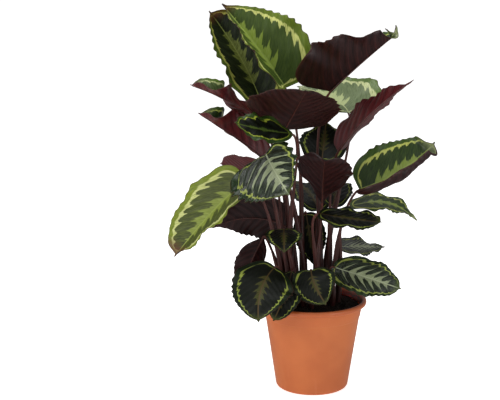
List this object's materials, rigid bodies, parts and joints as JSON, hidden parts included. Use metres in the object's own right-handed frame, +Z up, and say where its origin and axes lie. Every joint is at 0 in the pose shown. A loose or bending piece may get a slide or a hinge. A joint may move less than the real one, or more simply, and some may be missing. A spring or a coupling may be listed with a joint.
{
  "type": "potted calathea",
  "caption": "Leafy houseplant: oval patterned leaves, burgundy underneath, on upright stalks that rise from a tapered round plastic pot with a rolled rim.",
  "frame": {"origin": "centre of the pot's flat underside, on the surface it stands on", "axes": "+Z up the plant; -Y is the front, the side that the small low leaves drape over"},
  "size_m": [0.4577, 0.3369, 0.6702],
  "materials": {
    "pot_plastic": "satin",
    "peat": "matte",
    "stalk": "satin",
    "leaf": "satin"
  },
  "bodies": {
    "root": {"pot": "pot_plastic", "soil_ball": "peat", "rootstock": "peat", "stalk_crown_left": "stalk", "blade_crown_left": "leaf", "stalk_crown_far_left": "stalk", "blade_crown_far_left": "leaf", "stalk_crown_right": "stalk", "blade_crown_right": "leaf", "stalk_back_right_high": "stalk", "blade_back_right_high": "leaf", "stalk_right_high": "stalk", "blade_right_high": "leaf", "stalk_left_high": "stalk", "blade_left_high": "leaf", "stalk_front_high": "stalk", "blade_front_high": "leaf", "stalk_left_upper": "stalk", "blade_left_upper": "leaf", "stalk_left_scalloped": "stalk", "blade_left_scalloped": "leaf", "stalk_front_striped": "stalk", "blade_front_striped": "leaf", "stalk_left_big": "stalk", "blade_left_big": "leaf", "stalk_inner_upper": "stalk", "blade_inner_upper": "leaf", "stalk_left_back": "stalk", "blade_left_back": "leaf", "stalk_left_middle": "stalk", "blade_left_middle": "leaf", "stalk_left_low": "stalk", "blade_left_low": "leaf", "stalk_rim_left": "stalk", "blade_rim_left": "leaf", "stalk_rim_left_inner": "stalk", "blade_rim_left_inner": "leaf", "stalk_rim_front": "stalk", "blade_rim_front": "leaf", "stalk_rim_right": "stalk", "blade_rim_right": "leaf", "stalk_right_low": "stalk", "blade_right_low": "leaf", "stalk_right_middle": "stalk", "blade_right_middle": "leaf", "stalk_right_outer": "stalk", "blade_right_outer": "leaf", "stalk_right_big": "stalk", "blade_right_big": "leaf", "stalk_front_middle": "stalk", "blade_front_middle": "leaf", "stalk_front_small": "stalk", "blade_front_small": "leaf", "stalk_inner_hanging": "stalk", "blade_inner_hanging": "leaf", "stalk_back_left": "stalk", "blade_back_left": "leaf", "stalk_back_right": "stalk", "blade_back_right": "leaf"}
  },
  "joints": []
}
